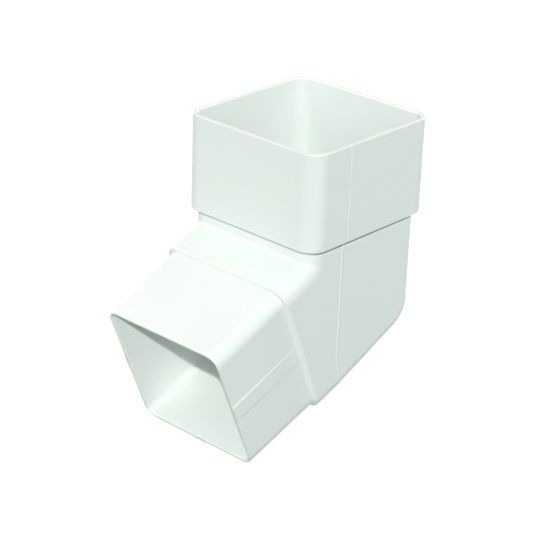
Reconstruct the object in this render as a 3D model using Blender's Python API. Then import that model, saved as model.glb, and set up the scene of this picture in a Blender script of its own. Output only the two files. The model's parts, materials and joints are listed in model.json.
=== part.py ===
# Downpipe offset bend for square rainwater pipe, moulded in one piece.
# The socket stands on top with its axis along +Z. Below it a short sleeve turns
# forward and down, towards -Y, and ends in a spigot that enters the next pipe.
# The origin is on the socket axis, on the seat where the upper pipe stops.

import math

import bmesh
import bpy
from mathutils import Vector

for old_object in list(bpy.data.objects):
    bpy.data.objects.remove(old_object, do_unlink=True)

mm = 0.001

# The square pipe on either side of the bend
pipe_side = 65.0 * mm
pipe_corner = 5.4 * mm
pipe_wall = 1.8 * mm
socket_clearance = 0.3 * mm
spigot_clearance = 0.15 * mm

# Socket: takes the end of the upper pipe
socket_wall = 2.0 * mm
socket_depth = 38.0 * mm
seat_thickness = 2.0 * mm
rim_lead_in = 0.5 * mm
socket_edge = 0.3 * mm

# Sleeve: as wide as the pipe, from under the socket to the shoulder
sleeve_side = pipe_side
sleeve_wall = 2.0 * mm
sleeve_corner = 7.2 * mm
neck_length = 5.7 * mm
slope_length = 16.6 * mm
sleeve_deflection = math.radians(66.0)
underside_draft = math.radians(0.6)
throat_radius = 1.5 * mm
heel_radius = 14.0 * mm
foot_length = 14.0 * mm
foot_lift = math.radians(4.8)

# Shoulder: square to the spigot, where the lower pipe stops
lip_height = 1.7 * mm
shoulder_edge = 0.8 * mm
shoulder_fillet = 0.5 * mm

# Spigot: goes into the lower pipe, and narrows from the shoulder to the mouth
spigot_deflection = math.radians(67.5)
spigot_side = pipe_side - 2 * (pipe_wall + spigot_clearance)
spigot_length = 37.7 * mm
spigot_corner = 5.7 * mm
spigot_draft = math.radians(1.35)
spigot_wall = 2.55 * mm
bore_draft = math.radians(0.4)
mouth_chamfer = 0.4 * mm
funnel_length = 6.0 * mm

# Grip ribs: one down the middle of each face, rising as the spigot narrows
rib_crest = 7.2 * mm
rib_flank = 0.5 * mm
rib_root_height = 0.1 * mm
rib_mouth_height = 0.45 * mm

# Facets along each rounded corner, round the bend and round the shoulder's edges
corner_steps = 6
bend_steps = 8
edge_steps = 3

# How far solids run into each other, and cutters run past the surface
overlap = 1.0 * mm

# Plane directions, as (y, z)
across = Vector((1.0, 0.0, 0.0))
down = Vector((0.0, -1.0))


def falling(deflection):
    """Direction that leaves straight down and turns forward by an angle."""
    return Vector((-math.sin(deflection), -math.cos(deflection)))


def raised(deflection):
    """Direction square to falling(deflection), on the upper side."""
    return Vector((-math.cos(deflection), math.sin(deflection)))


def meet(point, direction, other_point, other_direction):
    """Where two lines of the bend plane cross."""
    gap = other_point - point
    turn = direction.cross(other_direction)
    return point + direction * (gap.cross(other_direction) / turn)


def bent_rail(start, corner, end, radius):
    """Line that turns at a rounded corner, as (point, direction) pairs up to its far side."""
    before = (corner - start).normalized()
    turn = before.angle(end - corner)
    reach = radius * math.tan(turn / 2)
    side = math.copysign(1.0, before.cross(end - corner))
    normal = Vector((-before.y, before.x)) * side
    centre = corner - before * reach + normal * radius
    stops = [(start, before)]
    for step in range(bend_steps + 1):
        angle = turn * step / bend_steps
        point = centre - normal * radius * math.cos(angle) + before * radius * math.sin(angle)
        stops.append((point, before * math.cos(angle) + normal * math.sin(angle)))
    return stops


def station(upper, lower, half_width, corner, upper_slant=1.0, lower_slant=1.0):
    """Rounded rectangle across the bend plane, from an upper point to a lower one.

    A station that crosses a wall at a slant gets longer corners there, so that the
    wall itself keeps its true corner radius.
    """
    span = lower - upper
    depth = span.length
    along = span / depth
    upper_reach = corner / upper_slant
    lower_reach = corner / lower_slant
    quarters = (
        (half_width - corner, depth - lower_reach, lower_reach, 0),
        (corner - half_width, depth - lower_reach, lower_reach, 1),
        (corner - half_width, upper_reach, upper_reach, 2),
        (half_width - corner, upper_reach, upper_reach, 3),
    )
    ring = []
    for centre_x, centre_s, reach, quarter in quarters:
        for step in range(corner_steps + 1):
            angle = math.pi / 2 * (quarter + step / corner_steps)
            in_plane = upper + along * (centre_s + reach * math.sin(angle))
            x = centre_x + corner * math.cos(angle)
            ring.append(Vector((x, in_plane.x, in_plane.y)))
    return ring


def rail_stations(upper_rail, lower_rail, half_width, corner):
    """Stations between matching stops of an upper and a lower rail."""
    rings = []
    for (upper, upper_way), (lower, lower_way) in zip(upper_rail, lower_rail):
        line = (lower - upper).normalized()
        upper_slant = abs(line.cross(upper_way))
        lower_slant = abs(line.cross(lower_way))
        rings.append(station(upper, lower, half_width, corner, upper_slant, lower_slant))
    return rings


def level_station(height, side, corner):
    """Rounded square across the socket axis."""
    half = side / 2
    return station(Vector((-half, height)), Vector((half, height)), half, corner)


def spigot_station(distance, side, corner, draft):
    """Rounded square across the spigot, a distance past the shoulder."""
    half = side / 2 - distance * math.tan(draft)
    centre = spigot_centre + spigot_way * distance
    return station(centre + spigot_up * half, centre - spigot_up * half, half, corner)


def rib_points(middle, sideways, outward, height):
    """Outline of one rib with sloping flanks, across a face of the spigot."""
    half_crest = rib_crest / 2
    half_foot = half_crest + rib_flank
    return [
        middle - sideways * half_foot,
        middle - sideways * half_crest + outward * height,
        middle + sideways * half_crest + outward * height,
        middle + sideways * half_foot,
    ]


def ribbed_station(distance, grown):
    """Outline of the spigot with its four ribs, moved outwards by a growth."""
    side = spigot_side + 2 * grown
    ring = spigot_station(distance, side, spigot_corner + grown, spigot_draft)
    half = side / 2 - distance * math.tan(spigot_draft)
    rise = (rib_mouth_height - rib_root_height) / spigot_length
    height = rib_root_height + rise * distance
    up = Vector((0.0, spigot_up.x, spigot_up.y))
    middle = spigot_centre + spigot_way * distance
    centre = Vector((0.0, middle.x, middle.y))
    ribs = [
        rib_points(centre - up * half, -across, -up, height),
        rib_points(centre - across * half, up, -across, height),
        rib_points(centre + up * half, across, up, height),
        rib_points(centre + across * half, -up, across, height),
    ]
    quarter = corner_steps + 1
    outline = []
    for turn, rib in enumerate(ribs):
        outline += ring[turn * quarter:(turn + 1) * quarter] + rib
    return outline


def loft(name, rings):
    """Closed solid through a row of rings that have as many points each."""
    mesh = bpy.data.meshes.new(name)
    form = bmesh.new()
    loops = [[form.verts.new(point) for point in ring] for ring in rings]
    count = len(rings[0])
    for first, second in zip(loops, loops[1:]):
        for i in range(count):
            j = (i + 1) % count
            form.faces.new((first[i], first[j], second[j], second[i]))
    form.faces.new(loops[0])
    form.faces.new(loops[-1])
    bmesh.ops.recalc_face_normals(form, faces=form.faces)
    form.to_mesh(mesh)
    form.free()
    mesh.shade_smooth()
    mesh.set_sharp_from_angle(angle=math.radians(30.0))
    solid = bpy.data.objects.new(name, mesh)
    bpy.context.collection.objects.link(solid)
    return solid


# The bend plane: throat line on top of the sleeve, heel line below it
half_sleeve = sleeve_side / 2
sleeve_way = falling(sleeve_deflection)
underside_way = falling(sleeve_deflection - underside_draft)
foot_way = falling(sleeve_deflection - underside_draft + foot_lift)
spigot_way = falling(spigot_deflection)
spigot_up = raised(spigot_deflection)

throat_corner = Vector((-half_sleeve, -seat_thickness - neck_length))
heel_drop = sleeve_side * math.tan(sleeve_deflection / 2)
heel_corner = Vector((half_sleeve, throat_corner.y - heel_drop))
lip = throat_corner + sleeve_way * slope_length
foot_start = lip - spigot_way * foot_length
spigot_centre = lip - spigot_up * (lip_height + spigot_side / 2)


def slope_points(inset):
    """Points on the throat's slope and the underside, and where the foot starts."""
    over = throat_corner - raised(sleeve_deflection) * inset
    under = heel_corner + raised(sleeve_deflection - underside_draft) * inset
    foot = meet(under, underside_way, foot_start, spigot_up)
    return over, under, foot


def slope_ends(inset, back):
    """Where the slope and the foot stop, a distance behind the shoulder."""
    over, under, foot = slope_points(inset)
    stop = lip - spigot_way * back
    return meet(over, sleeve_way, stop, spigot_up), meet(foot, foot_way, stop, spigot_up)


def inset_rails(inset, top, back):
    """Throat and heel rails, moved into the wall by an inset.

    They start at a height, and end a distance behind the shoulder.
    """
    over, under, foot = slope_points(inset)
    throat_start = Vector((inset - half_sleeve, top))
    heel_start = Vector((half_sleeve - inset, top))
    throat = meet(over, sleeve_way, throat_start, down)
    heel = meet(under, underside_way, heel_start, down)
    throat_end, heel_end = slope_ends(inset, back)
    upper_rail = bent_rail(throat_start, throat, throat_end, throat_radius + inset)
    lower_rail = bent_rail(heel_start, heel, foot, heel_radius - inset)
    halfway = (upper_rail[-1][0] + throat_end) / 2
    upper_rail += [(halfway, sleeve_way), (throat_end, sleeve_way)]
    lower_rail += [(foot, underside_way), (heel_end, foot_way)]
    return upper_rail, lower_rail


def make_socket():
    """Outer block of the socket, with its rim and its lower edge eased."""
    side = pipe_side + 2 * (socket_clearance + socket_wall)
    corner = pipe_corner + socket_clearance + socket_wall
    eased_side = side - 2 * socket_edge
    eased_corner = corner - socket_edge
    return loft("offset_bend", [
        level_station(-seat_thickness, eased_side, eased_corner),
        level_station(socket_edge - seat_thickness, side, corner),
        level_station(socket_depth - socket_edge, side, corner),
        level_station(socket_depth, eased_side, eased_corner),
    ])


def make_sleeve():
    """Outer form of the neck, the bend and the slope, down to the shoulder."""
    throat_rail, heel_rail = inset_rails(0.0, -seat_thickness / 2, shoulder_edge)
    rings = rail_stations(throat_rail, heel_rail, half_sleeve, sleeve_corner)
    for step in range(1, edge_steps + 1):
        angle = math.pi / 2 * step / edge_steps
        inset = shoulder_edge * (1 - math.cos(angle))
        upper, lower = slope_ends(inset, shoulder_edge * (1 - math.sin(angle)))
        rings.append(station(upper, lower, half_sleeve - inset, sleeve_corner - inset))
    return loft("sleeve", rings)


def make_spigot():
    """Ribbed outer form of the spigot, from inside the sleeve to its chamfered mouth."""
    rings = [ribbed_station(-overlap, shoulder_fillet)]
    for step in range(edge_steps + 1):
        angle = math.pi / 2 * step / edge_steps
        distance = shoulder_fillet * (1 - math.cos(angle))
        rings.append(ribbed_station(distance, shoulder_fillet * (1 - math.sin(angle))))
    rings.append(ribbed_station(spigot_length - mouth_chamfer, 0.0))
    rings.append(ribbed_station(spigot_length, -mouth_chamfer))
    return loft("spigot", rings)


def make_pipe_pocket():
    """Space for the upper pipe, from the seat up through the rim."""
    side = pipe_side + 2 * socket_clearance
    corner = pipe_corner + socket_clearance
    flare = rim_lead_in + overlap
    return loft("pipe_pocket", [
        level_station(0.0, side, corner),
        level_station(socket_depth - rim_lead_in, side, corner),
        level_station(socket_depth + overlap, side + 2 * flare, corner + flare),
    ])


def make_waterway():
    """Bore from the seat round the bend, narrowing to the spigot, out of its mouth."""
    throat_rail, heel_rail = inset_rails(sleeve_wall, overlap, funnel_length)
    bore_half = half_sleeve - sleeve_wall
    bore_corner = sleeve_corner - sleeve_wall
    rings = rail_stations(throat_rail, heel_rail, bore_half, bore_corner)
    bore_side = spigot_side - 2 * spigot_wall
    for distance in (0.0, spigot_length + overlap):
        rings.append(spigot_station(distance, bore_side, spigot_corner - spigot_wall, -bore_draft))
    return loft("waterway", rings)


def make_material():
    """White rigid pipe plastic with a satin gloss."""
    plastic = bpy.data.materials.new("white_pipe_plastic")
    plastic.use_nodes = True
    shader = plastic.node_tree.nodes["Principled BSDF"]
    shader.inputs["Base Color"].default_value = (0.83, 0.90, 0.87, 1.0)
    shader.inputs["Roughness"].default_value = 0.3
    shader.inputs["Metallic"].default_value = 0.0
    return plastic


def join(body, tool, operation):
    """Adds a tool to the body or cuts it away, and keeps it as a guide."""
    step = body.modifiers.new(tool.name, "BOOLEAN")
    step.object = tool
    step.operation = operation
    step.solver = "EXACT"
    tool.hide_render = True
    tool.display_type = "WIRE"


offset_bend = make_socket()
for piece in (make_sleeve(), make_spigot()):
    join(offset_bend, piece, "UNION")
for cutter in (make_pipe_pocket(), make_waterway()):
    join(offset_bend, cutter, "DIFFERENCE")
offset_bend.data.materials.append(make_material())
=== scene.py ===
import json
import math

import bmesh
import bpy
from mathutils import Matrix, Vector

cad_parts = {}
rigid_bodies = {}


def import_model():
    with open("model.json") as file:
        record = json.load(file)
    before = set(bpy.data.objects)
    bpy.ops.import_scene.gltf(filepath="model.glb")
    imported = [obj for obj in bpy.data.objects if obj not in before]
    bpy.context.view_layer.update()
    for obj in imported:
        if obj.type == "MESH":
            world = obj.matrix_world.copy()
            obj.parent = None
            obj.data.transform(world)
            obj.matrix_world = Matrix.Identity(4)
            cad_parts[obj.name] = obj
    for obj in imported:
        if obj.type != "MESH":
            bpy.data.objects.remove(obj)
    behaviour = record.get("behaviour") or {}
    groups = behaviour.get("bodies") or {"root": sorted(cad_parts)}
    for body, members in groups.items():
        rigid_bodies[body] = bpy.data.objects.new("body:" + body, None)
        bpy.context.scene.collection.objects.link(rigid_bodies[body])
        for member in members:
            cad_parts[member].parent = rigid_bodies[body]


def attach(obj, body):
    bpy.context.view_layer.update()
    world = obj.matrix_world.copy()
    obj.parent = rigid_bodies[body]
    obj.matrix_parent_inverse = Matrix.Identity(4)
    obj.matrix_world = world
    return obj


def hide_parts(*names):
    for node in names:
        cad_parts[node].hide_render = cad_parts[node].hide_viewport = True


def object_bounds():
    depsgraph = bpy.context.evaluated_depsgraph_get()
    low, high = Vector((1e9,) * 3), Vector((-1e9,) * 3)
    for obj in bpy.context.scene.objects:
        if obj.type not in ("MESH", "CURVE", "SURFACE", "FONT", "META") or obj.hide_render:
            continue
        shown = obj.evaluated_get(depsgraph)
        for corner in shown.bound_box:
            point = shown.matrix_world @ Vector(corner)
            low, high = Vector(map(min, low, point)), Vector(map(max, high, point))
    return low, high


# White square downpipe offset bend. All sizes below are millimetres and degrees,
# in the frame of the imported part: z up the socket, the spigot towards -y and down.
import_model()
mm = 0.001
cadLow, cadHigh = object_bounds()
print("frame loaded, box", [round(v / mm, 1) for v in cadHigh - cadLow], "mm")

down = Vector((0.0, -1.0))    # points and ways in the bend plane are written (y, z)

socket = {
    "halfDeep": 34.8,         # outside, front to back
    "halfAcross": 34.65,      # the parting line stands on these two faces
    "corner": 7.7,
    "rim": 38.0,
    "underside": -2.0,
    "edgeRound": 0.45,
    "rimInnerRound": 0.15,
    "underRound": 0.25,
    "halfPocket": 32.8,
    "pocketCorner": 5.7,
    "leadIn": 0.5,
    "leadInRound": 0.2,
    "seatRound": 0.5,
}

sleeve = {
    "half": 32.5,
    "corner": 7.2,
    "neck": 5.7,              # straight part under the socket
    "turn": 66.0,
    "undersideDraft": 0.6,
    "slope": 16.6,
    "throatRadius": 1.5,
    "heelRadius": 14.0,
    "foot": 14.0,             # the underside lifts over this length
    "footLift": 4.8,
    "footRound": 2.5,
    "neckFillet": 0.15,
    "grooveDeep": 1.4,        # narrow undercut below the socket, on the left and right
    "grooveInFront": 0.03,    # next to nothing in front and behind
    "grooveTall": 2.3,
    "railStart": 1.0,         # the bend's rails start this far below what is above them
    "wall": 2.0,
    "boreRound": 1.2,
    "bendSteps": 24,
}

shoulder = {
    "lip": 1.7,               # from the spigot's upper face to the sleeve's
    "slant": 0.75,            # the step slopes from this far before its middle to as far past it
    "topSlant": 0.15,         # and is steeper along the top
    "topRound": 0.8,
    "topFrom": 0.8,           # the top starts at this share of the spigot's half height
    "topFade": 0.15,          # and is complete this much higher
    "edgeRound": 0.35,
    "fillet": 0.25,
}

spigot = {
    "turn": 67.5,
    "half": 30.55,
    "corner": 5.7,
    "length": 37.55,
    "draft": 1.35,
    "wall": 2.55,
    "boreDraft": 0.4,
    "funnel": 6.0,
    "mouthRound": 0.4,
    "boreRound": 0.9,         # the open end is eased inside
}

ribs = {
    "halfFoot": 4.05,
    "flankAtShoulder": 0.25,
    "flankAtMouth": 0.8,
    "heightAtShoulder": 0.08,
    "heightAtMouth": 0.45,
    "topShare": 0.2,          # the upper rib is worn nearly flat
    "edgeShare": 0.2,         # share of each flank taken by its rounded edges
    "edgeRise": 0.17,         # share of the height gained over one rounded edge
}

cornerSteps = 14
edgeSteps = 4
mostOfEdge = 0.5              # a rounding takes at most this share of the way to its neighbour
upperSide = 2                 # the sides of a ring are counted underside, left, top, right


def falling(degrees):
    a = math.radians(degrees)
    return Vector((-math.sin(a), -math.cos(a)))


def raised(degrees):
    a = math.radians(degrees)
    return Vector((-math.cos(a), math.sin(a)))


def crossing(point, way, otherPoint, otherWay):
    return point + way * ((otherPoint - point).cross(otherWay) / way.cross(otherWay))


# one rounded rectangle across the bend plane, with the eight points of a rib on each side
def ringAcross(upper, lower, half, corner, upperSlant=1.0, lowerSlant=1.0, ribAt=None):
    along = lower - upper
    depth = along.length
    along = along / depth
    reachUp = corner / upperSlant
    reachDown = corner / lowerSlant
    quarters = (
        (half - corner, depth - reachDown, reachDown),
        (corner - half, depth - reachDown, reachDown),
        (corner - half, reachUp, reachUp),
        (half - corner, reachUp, reachUp),
    )
    arcs = []
    for turn, (x, s, reach) in enumerate(quarters):
        arc = []
        for step in range(cornerSteps + 1):
            a = math.pi / 2 * (turn + step / cornerSteps)
            p = upper + along * (s + reach * math.sin(a))
            arc.append(Vector((x + corner * math.cos(a), p.x, p.y)))
        arcs.append(arc)
    lowerWay = Vector((0.0, along.x, along.y))
    across = Vector((1.0, 0.0, 0.0))
    outwards = (lowerWay, -across, -lowerWay, across)
    ring = []
    for turn, arc in enumerate(arcs):
        rise = ribs["topShare"] if turn == upperSide else 1.0
        ring += arc + ribPoints(arc[-1], arcs[(turn + 1) % 4][0], outwards[turn], ribAt, rise)
    return ring


# a rib seen end on: foot, flank and crest, flat where the ring has no rib
def ribPoints(first, last, outward, ribAt, rise):
    share = 0.0 if ribAt is None else min(max(ribAt / spigot["length"], 0.0), 1.0)
    flank = ribs["flankAtShoulder"] + (ribs["flankAtMouth"] - ribs["flankAtShoulder"]) * share
    height = ribs["heightAtShoulder"] + (ribs["heightAtMouth"] - ribs["heightAtShoulder"]) * share
    height = 0.0 if ribAt is None else height * rise
    middle = (first + last) / 2
    sideways = (last - first).normalized()
    edge = flank * ribs["edgeShare"]
    foot = ribs["halfFoot"]
    crest = foot - flank
    low = ribs["edgeRise"]
    profile = ((foot + edge, 0.0), (foot - edge, low), (crest + edge, 1.0 - low), (crest - edge, 1.0))
    left = [middle - sideways * t + outward * height * h for t, h in profile]
    right = [middle + sideways * t + outward * height * h for t, h in reversed(profile)]
    return left + right


def levelRing(z, halfAcross, halfDeep, corner):
    return ringAcross(Vector((-halfDeep, z)), Vector((halfDeep, z)), halfAcross, corner)


def spigotRing(s, half, corner, ribAt=None):
    middle = spigotCentre + spigotWay * s
    return ringAcross(middle + spigotUp * half, middle - spigotUp * half, half, corner, ribAt=ribAt)


# 1 along the top of the shoulder, down to 0 through its two upper corners
def shareOfTop(p):
    height = (Vector((p.y, p.z)) - spigotCentre).dot(spigotUp) / spigot["half"]
    return min(max((height - shoulder["topFrom"]) / shoulder["topFade"], 0.0), 1.0)


def lipRound(p):
    return shoulder["edgeRound"] + (shoulder["topRound"] - shoulder["edgeRound"]) * shareOfTop(p)


def topMoved(ring, way, distance):
    return [p + Vector((0.0, way.x, way.y)) * distance * shareOfTop(p) for p in ring]


# points and directions along a line that turns at a rounded corner
def bentRail(start, corner, end, radius):
    before = (corner - start).normalized()
    turn = before.angle(end - corner)
    side = math.copysign(1.0, before.cross(end - corner))
    normal = Vector((-before.y, before.x)) * side
    centre = corner - before * radius * math.tan(turn / 2) + normal * radius
    rail = [(start, before)]
    for step in range(sleeve["bendSteps"] + 1):
        a = turn * step / sleeve["bendSteps"]
        p = centre - normal * radius * math.cos(a) + before * radius * math.sin(a)
        rail.append((p, before * math.cos(a) + normal * math.sin(a)))
    return rail


slopeWay = falling(sleeve["turn"])
underWay = falling(sleeve["turn"] - sleeve["undersideDraft"])
footWay = falling(sleeve["turn"] - sleeve["undersideDraft"] + sleeve["footLift"])
spigotWay = falling(spigot["turn"])
spigotUp = raised(spigot["turn"])
throatCorner = Vector((-sleeve["half"], socket["underside"] - sleeve["neck"]))
heelDrop = 2 * sleeve["half"] * math.tan(math.radians(sleeve["turn"] / 2))
heelCorner = Vector((sleeve["half"], throatCorner.y - heelDrop))
lip = throatCorner + slopeWay * sleeve["slope"]
spigotCentre = lip - spigotUp * (shoulder["lip"] + spigot["half"])


# rings down the neck, round the bend and along the slope, moved into the wall by an inset
def sleeveRings(inset, top, back):
    over = throatCorner - raised(sleeve["turn"]) * inset
    under = heelCorner + raised(sleeve["turn"] - sleeve["undersideDraft"]) * inset
    foot = crossing(under, underWay, lip - spigotWay * sleeve["foot"], spigotUp)
    stop = lip - spigotWay * back
    throatStart = Vector((inset - sleeve["half"], top))
    heelStart = Vector((sleeve["half"] - inset, top))
    throatEnd = crossing(over, slopeWay, stop, spigotUp)
    heelEnd = crossing(foot, footWay, stop, spigotUp)
    throat = crossing(over, slopeWay, throatStart, down)
    heel = crossing(under, underWay, heelStart, down)
    upperRail = bentRail(throatStart, throat, throatEnd, sleeve["throatRadius"] + inset)
    lowerRail = bentRail(heelStart, heel, foot, sleeve["heelRadius"] - inset)
    upperRail += [((upperRail[-1][0] + throatEnd) / 2, slopeWay), (throatEnd, slopeWay)]
    lowerRail += [(foot, underWay), (heelEnd, footWay)]
    rings = []
    for (upper, upperWay), (lower, lowerWay) in zip(upperRail, lowerRail):
        line = (lower - upper).normalized()
        half = sleeve["half"] - inset
        slants = abs(line.cross(upperWay)), abs(line.cross(lowerWay))
        rings.append(ringAcross(upper, lower, half, sleeve["corner"] - inset, *slants))
    return rings


# every ring comes with how far its edge is rounded; 0 leaves it as it is
def bodyStops():
    edge = socket["edgeRound"]
    deep, wide = socket["halfDeep"], socket["halfAcross"]
    half, neckTop = sleeve["half"], socket["underside"]
    grooveAcross = half - sleeve["grooveDeep"]
    grooveAlong = half - sleeve["grooveInFront"]
    grooveEnd = neckTop - sleeve["grooveTall"]
    pocket, lead = socket["halfPocket"], socket["leadIn"]
    stops = [
        (levelRing(socket["rim"], pocket + lead, pocket + lead, socket["pocketCorner"] + lead),
         socket["rimInnerRound"]),
        (levelRing(socket["rim"], wide, deep, socket["corner"]), edge),
        (levelRing(neckTop, wide, deep, socket["corner"]), socket["underRound"]),
        (levelRing(neckTop, grooveAcross, grooveAlong, sleeve["corner"]), 0.0),
        (levelRing(grooveEnd, grooveAcross, grooveAlong, sleeve["corner"]), 0.0),
        (levelRing(grooveEnd, half, half, sleeve["corner"]), sleeve["neckFillet"]),
    ]
    slant = shoulder["slant"]
    steeper = slant - shoulder["topSlant"]
    outer = sleeveRings(0.0, grooveEnd - sleeve["railStart"], slant)
    outer[-1] = topMoved(outer[-1], slopeWay, steeper)
    rounds = [0.0] * (len(outer) - 2) + [sleeve["footRound"], lipRound]
    stops += list(zip(outer, rounds))
    drop = math.tan(math.radians(spigot["draft"]))
    atMouth = spigot["half"] - spigot["length"] * drop
    atFoot = spigot["half"] - slant * drop
    stops += [
        (topMoved(spigotRing(slant, atFoot, spigot["corner"], slant), spigotWay, -steeper),
         shoulder["fillet"]),
        (spigotRing(spigot["length"] / 2, (spigot["half"] + atMouth) / 2, spigot["corner"],
                    spigot["length"] / 2), 0.0),
        (spigotRing(spigot["length"], atMouth, spigot["corner"], spigot["length"]), spigot["mouthRound"]),
    ]
    bore = spigot["half"] - spigot["wall"]
    boreCorner = spigot["corner"] - spigot["wall"]
    boreMouth = bore + spigot["length"] * math.tan(math.radians(spigot["boreDraft"]))
    stops += [
        (spigotRing(spigot["length"], boreMouth, boreCorner), spigot["boreRound"]),
        (spigotRing(0.0, bore, boreCorner), sleeve["boreRound"]),
    ]
    inner = sleeveRings(sleeve["wall"], -sleeve["railStart"], spigot["funnel"])
    stops += list(zip(reversed(inner), [sleeve["boreRound"]] + [0.0] * (len(inner) - 1)))
    boreHalf = half - sleeve["wall"]
    stops += [
        (levelRing(0.0, boreHalf, boreHalf, sleeve["corner"] - sleeve["wall"]), socket["seatRound"]),
        (levelRing(0.0, pocket, pocket, socket["pocketCorner"]), socket["seatRound"]),
        (levelRing(socket["rim"] - lead, pocket, pocket, socket["pocketCorner"]), socket["leadInRound"]),
    ]
    return stops


# turns each stop that has a rounding into a small arc between its neighbours
def roundedRings(stops):
    rings = []
    count = len(stops)
    for i, (ring, reach) in enumerate(stops):
        if reach == 0.0:
            rings.append(ring)
            continue
        before, after = stops[i - 1][0], stops[(i + 1) % count][0]
        arcs = [[] for step in range(edgeSteps + 1)]
        for p, q, r in zip(ring, before, after):
            toBefore, toAfter = q - p, r - p
            far = reach(p) if callable(reach) else reach
            start = p + toBefore * min(mostOfEdge, far / toBefore.length)
            end = p + toAfter * min(mostOfEdge, far / toAfter.length)
            for step, arc in enumerate(arcs):
                t = step / edgeSteps
                arc.append(start * (1 - t) ** 2 + p * 2 * t * (1 - t) + end * t ** 2)
        rings += arcs
    return rings


def joinLoops(form, loops):
    count = len(loops[0])
    for first, second in zip(loops, loops[1:]):
        for i in range(count):
            j = (i + 1) % count
            form.faces.new((first[i], first[j], second[j], second[i]))


def makePiece(name, form):
    bmesh.ops.recalc_face_normals(form, faces=form.faces)
    mesh = bpy.data.meshes.new(name)
    form.to_mesh(mesh)
    form.free()
    piece = bpy.data.objects.new(name, mesh)
    bpy.context.collection.objects.link(piece)
    return piece


def makeBody():
    rings = roundedRings(bodyStops())
    form = bmesh.new()
    loops = [[form.verts.new(p * mm) for p in ring] for ring in rings]
    joinLoops(form, loops + loops[:1])
    body = makePiece("offsetBend", form)
    body.data.shade_smooth()
    weigh = body.modifiers.new("flatFacesStayFlat", "WEIGHTED_NORMAL")
    weigh.mode = "FACE_AREA"
    weigh.weight = 50
    weigh.keep_sharp = False
    print("body:", len(rings), "rings of", len(rings[0]), "points")
    return body


partingLine = {
    "front": 0.45,            # reach of the flank towards the spigot
    "rearOnSocket": 0.17,     # and of the flank behind
    "rearOnSleeve": 1.2,
    "crestFront": 0.05,
    "crestRear": 0.03,
    "heightOnSocket": 0.15,
    "heightOnSleeve": 0.24,
    "sink": 0.2,              # how far its foot stands in the wall
    "fade": 3.0,
    "spacingOnSocket": 4.0,
    "spacingOnSleeve": 0.8,
    "onSocket": [(-14.3, 37.6), (-14.3, -1.6)],
    "onSleeve": [(-14.5, -2.1), (-14.6, -48.0), (-14.67, -52.2), (-14.04, -55.9), (-12.81, -60.0),
                 (-11.6, -63.2)],
}


# points along a smooth line through the given ones
def smoothPath(points, spacing):
    path = []
    ends = [points[0]] + points + [points[-1]]
    for a, b, c, d in zip(ends, ends[1:], ends[2:], ends[3:]):
        length = math.dist(b, c)
        steps = max(2, int(length / spacing))
        for step in range(steps):
            t = step / steps
            path.append(tuple(
                0.5 * (2 * q + (r - p) * t + (2 * p - 5 * q + 4 * r - s) * t * t
                       + (3 * q - p - 3 * r + s) * t ** 3)
                for p, q, r, s in zip(a, b, c, d)))
    path.append(points[-1])
    return path


# a low ridge along a path on a side wall; it fades out over the last fadeEnd, unless that is 0
def addBead(form, path, wall, side, rear, fullHeight, fadeEnd):
    total = sum(math.dist(a, b) for a, b in zip(path, path[1:]))
    gone = 0.0
    sections = []
    for i, point in enumerate(path):
        before, after = path[max(i - 1, 0)], path[min(i + 1, len(path) - 1)]
        if i:
            gone += math.dist(path[i - 1], point)
        way = Vector((after[0] - before[0], after[1] - before[1])).normalized()
        forward = Vector((way.y, -way.x))
        height = fullHeight * (min(1.0, (total - gone) / fadeEnd) if fadeEnd else 1.0)
        profile = ((partingLine["front"], -partingLine["sink"]), (partingLine["front"], 0.0),
                   (partingLine["crestFront"], height), (-partingLine["crestRear"], height),
                   (-rear, 0.0), (-rear, -partingLine["sink"]))
        section = []
        for t, h in profile:
            p = Vector(point) + forward * t
            section.append(form.verts.new(Vector((side * (wall + h), p.x, p.y)) * mm))
        sections.append(section)
    joinLoops(form, sections)
    form.faces.new(sections[0])
    form.faces.new(sections[-1])


def makePartingLine():
    form = bmesh.new()
    onSocket = smoothPath(partingLine["onSocket"], partingLine["spacingOnSocket"])
    onSleeve = smoothPath(partingLine["onSleeve"], partingLine["spacingOnSleeve"])
    for side in (1, -1):
        addBead(form, onSocket, socket["halfAcross"], side, partingLine["rearOnSocket"],
                partingLine["heightOnSocket"], 0.0)
        addBead(form, onSleeve, sleeve["half"], side, partingLine["rearOnSleeve"],
                partingLine["heightOnSleeve"], partingLine["fade"])
    print("parting line: both sides")
    return makePiece("partingLine", form)


plastic = {
    "colour": (0.838, 0.9, 0.87, 1.0),
    "deepColour": (0.823, 0.89, 0.855, 1.0),
    "cloudSize": 30.0,
    "cloudDetail": 3.0,
    "roughLow": 0.29,
    "roughHigh": 0.35,
    "smearSize": 9.0,
    "smearDetail": 1.0,
    "smearFrom": 0.3,
    "smearTo": 0.7,
    "grainSize": 0.9,
    "grainDetail": 2.0,
    "grainDepth": 0.01,
    "grainStrength": 0.25,
    "ior": 1.53,
    "glow": 0.05,             # light that enters and comes out nearby
    "glowTint": (1.0, 1.0, 0.9),
    "glowReach": 1.5,
}


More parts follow.
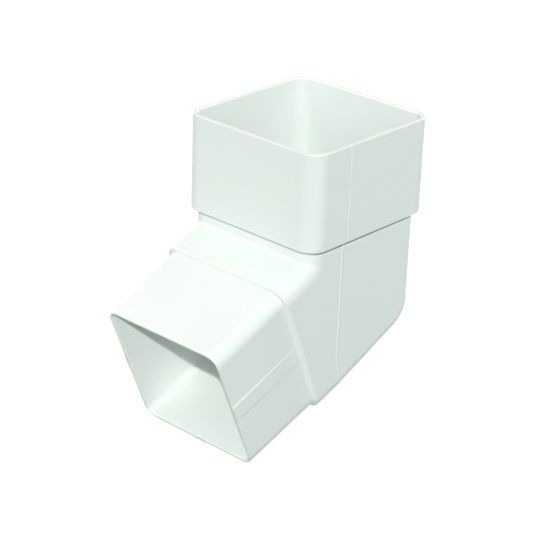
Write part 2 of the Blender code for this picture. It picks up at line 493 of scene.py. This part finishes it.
def makePlastic():
    material = bpy.data.materials.new("whitePipePlastic")
    material.use_nodes = True
    nodes, links = material.node_tree.nodes, material.node_tree.links
    shader = nodes["Principled BSDF"]
    shader.inputs["IOR"].default_value = plastic["ior"]
    shader.inputs["Subsurface Weight"].default_value = plastic["glow"]
    shader.inputs["Subsurface Radius"].default_value = plastic["glowTint"]
    shader.inputs["Subsurface Scale"].default_value = plastic["glowReach"] * mm
    place = nodes.new("ShaderNodeTexCoord")

    def noise(size, detail):
        cloud = nodes.new("ShaderNodeTexNoise")
        cloud.inputs["Scale"].default_value = 1.0 / (size * mm)
        cloud.inputs["Detail"].default_value = detail
        links.new(place.outputs["Object"], cloud.inputs["Vector"])
        return cloud

    # faint clouds in the colour, as the melt leaves them
    clouds = noise(plastic["cloudSize"], plastic["cloudDetail"])
    tint = nodes.new("ShaderNodeMix")
    tint.data_type = "RGBA"
    tint.inputs["A"].default_value = plastic["deepColour"]
    tint.inputs["B"].default_value = plastic["colour"]
    links.new(clouds.outputs["Fac"], tint.inputs["Factor"])
    links.new(tint.outputs["Result"], shader.inputs["Base Color"])

    # satin gloss that changes a little from place to place
    smear = noise(plastic["smearSize"], plastic["smearDetail"])
    gloss = nodes.new("ShaderNodeMapRange")
    gloss.inputs["From Min"].default_value = plastic["smearFrom"]
    gloss.inputs["From Max"].default_value = plastic["smearTo"]
    gloss.inputs["To Min"].default_value = plastic["roughLow"]
    gloss.inputs["To Max"].default_value = plastic["roughHigh"]
    links.new(smear.outputs["Fac"], gloss.inputs["Value"])
    links.new(gloss.outputs["Result"], shader.inputs["Roughness"])

    # very fine mould grain
    grain = noise(plastic["grainSize"], plastic["grainDetail"])
    bump = nodes.new("ShaderNodeBump")
    bump.inputs["Strength"].default_value = plastic["grainStrength"]
    bump.inputs["Distance"].default_value = plastic["grainDepth"] * mm
    links.new(grain.outputs["Fac"], bump.inputs["Height"])
    links.new(bump.outputs["Normal"], shader.inputs["Normal"])
    print("plastic: white, satin")
    return material


studio = {
    "keyWay": (0.5576, -0.6293, 0.5414),   # towards the lamp
    "keyLevel": 0.745,         # 1 shows a colour as it is written, square to the light
    "keyAngle": 1.3,
    "keyColour": (1.0, 1.0, 0.96),
    "target": (0.0, -20.0, -24.0),
    "softLamps": (            # azimuth, elevation, level, colour; azimuth 0 stands before the spigot
        (-25.0, 12.0, 0.06, (1.0, 1.0, 1.0)),
        (45.0, 12.0, 0.18, (1.0, 0.98, 1.05)),
        (-60.0, 40.0, 0.31, (1.02, 0.94, 1.05)),
        (115.0, 40.0, 0.16, (0.9, 0.97, 1.15)),
        (180.0, 68.0, 0.13, (1.3, 0.87, 0.92)),
        (180.0, 12.0, 0.5, (1.0, 1.0, 1.0)),
        (-100.0, 8.0, 0.2, (1.0, 1.0, 1.0)),
    ),
    "softDistance": 700.0,
    "softSize": 500.0,
    "room": 0.03,             # light from all round
    "floorColour": (0.155, 0.23, 0.207, 1.0),
    "floorGlow": 0.85,        # what the camera sees: this much light of its own
    "floorShare": 0.25,       # and this much from the lamps, so that it keeps the shadow
    "floorReach": 3000.0,
}


# 1 where the ray comes from the camera, a glossy face or clear plastic, otherwise 0
def seenByCamera(nodes, links):
    path = nodes.new("ShaderNodeLightPath")
    seen = path.outputs["Is Camera Ray"]
    for kind in ("Is Glossy Ray", "Is Transmission Ray"):
        either = nodes.new("ShaderNodeMath")
        either.operation = "MAXIMUM"
        links.new(seen, either.inputs[0])
        links.new(path.outputs[kind], either.inputs[1])
        seen = either.outputs["Value"]
    return seen


# white to the camera, and a dim green-grey to the light that falls back on the part
def makeFloor():
    mesh = bpy.data.meshes.new("floor")
    reach = studio["floorReach"] * mm
    z = cadLow.z
    corners = [(-reach, -reach, z), (reach, -reach, z), (reach, reach, z), (-reach, reach, z)]
    mesh.from_pydata(corners, [], [(0, 1, 2, 3)])
    floor = bpy.data.objects.new("floor", mesh)
    bpy.context.collection.objects.link(floor)
    material = bpy.data.materials.new("paleFloor")
    material.use_nodes = True
    nodes, links = material.node_tree.nodes, material.node_tree.links
    nodes.remove(nodes["Principled BSDF"])
    output = nodes["Material Output"]
    plain = nodes.new("ShaderNodeBsdfDiffuse")
    plain.inputs["Color"].default_value = studio["floorColour"]
    shaded = nodes.new("ShaderNodeBsdfDiffuse")
    shaded.inputs["Color"].default_value = (studio["floorShare"],) * 3 + (1.0,)
    glow = nodes.new("ShaderNodeEmission")
    glow.inputs["Strength"].default_value = studio["floorGlow"]
    both = nodes.new("ShaderNodeAddShader")
    links.new(shaded.outputs["BSDF"], both.inputs[0])
    links.new(glow.outputs["Emission"], both.inputs[1])
    pick = nodes.new("ShaderNodeMixShader")
    links.new(seenByCamera(nodes, links), pick.inputs["Fac"])
    links.new(plain.outputs["BSDF"], pick.inputs[1])
    links.new(both.outputs["Shader"], pick.inputs[2])
    links.new(pick.outputs["Shader"], output.inputs["Surface"])
    mesh.materials.append(material)
    return floor


def makeSoftLamp(name, azimuth, elevation, level, colour):
    azimuth, elevation = math.radians(azimuth), math.radians(elevation)
    way = Vector((math.sin(azimuth) * math.cos(elevation), -math.cos(azimuth) * math.cos(elevation),
                  math.sin(elevation)))
    distance = studio["softDistance"]
    lamp = bpy.data.lights.new(name, "AREA")
    lamp.shape = "DISK"
    lamp.size = studio["softSize"] * mm
    lamp.energy = level * (math.pi * distance * mm) ** 2
    lamp.color = colour
    lampObject = bpy.data.objects.new(name, lamp)
    lampObject.location = (Vector(studio["target"]) + way * distance) * mm
    lampObject.rotation_mode = "QUATERNION"
    lampObject.rotation_quaternion = way.to_track_quat("Z", "Y")
    bpy.context.collection.objects.link(lampObject)


def makeLight():
    lamp = bpy.data.lights.new("key", "SUN")
    lamp.energy = studio["keyLevel"] * math.pi
    lamp.color = studio["keyColour"]
    lamp.angle = math.radians(studio["keyAngle"])
    key = bpy.data.objects.new("key", lamp)
    key.rotation_mode = "QUATERNION"
    key.rotation_quaternion = Vector(studio["keyWay"]).to_track_quat("Z", "Y")
    bpy.context.collection.objects.link(key)
    for count, lamp in enumerate(studio["softLamps"], 1):
        makeSoftLamp("soft%d" % count, *lamp)
    world = bpy.data.worlds.new("studioRoom")
    bpy.context.scene.world = world
    world.use_nodes = True
    nodes, links = world.node_tree.nodes, world.node_tree.links
    room = nodes["Background"]
    room.inputs["Color"].default_value = (1.0, 1.0, 1.0, 1.0)
    level = nodes.new("ShaderNodeMapRange")
    level.inputs["To Min"].default_value = studio["room"]
    level.inputs["To Max"].default_value = 1.0
    links.new(seenByCamera(nodes, links), level.inputs["Value"])
    links.new(level.outputs["Result"], room.inputs["Strength"])
    print("light: key,", len(studio["softLamps"]), "soft lamps and the room")


camera = {
    "target": (0.08, -20.0, -23.55),
    "azimuth": 41.932,
    "elevation": 24.559,
    "roll": 2.091,
    "distance": 745.18,
    "lens": 124.05,
    "sensor": 36.0,
    "clipStart": 50.0,
    "clipEnd": 20000.0,
}


def makeCamera():
    a, e, r = (math.radians(camera[k]) for k in ("azimuth", "elevation", "roll"))
    back = Vector((math.sin(a) * math.cos(e), -math.cos(a) * math.cos(e), math.sin(e)))
    level = Vector((math.cos(a), math.sin(a), 0.0))
    upright = back.cross(level)
    right = level * math.cos(r) + upright * math.sin(r)
    up = upright * math.cos(r) - level * math.sin(r)
    lensData = bpy.data.cameras.new("photoView")
    lensData.sensor_width = camera["sensor"]
    lensData.lens = camera["lens"]
    lensData.clip_start = camera["clipStart"] * mm
    lensData.clip_end = camera["clipEnd"] * mm
    view = bpy.data.objects.new("photoView", lensData)
    place = (Vector(camera["target"]) + back * camera["distance"]) * mm
    turn = Matrix((right, up, back)).transposed().to_4x4()
    view.matrix_world = Matrix.Translation(place) @ turn
    bpy.context.collection.objects.link(view)
    bpy.context.scene.camera = view
    print("camera set")


body = makeBody()
line = makePartingLine()
finish = makePlastic()
for piece in (body, line):
    piece.data.materials.append(finish)
    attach(piece, "root")
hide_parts("offset_bend")

makeFloor()
makeLight()
makeCamera()
bpy.context.scene.view_settings.view_transform = "Standard"
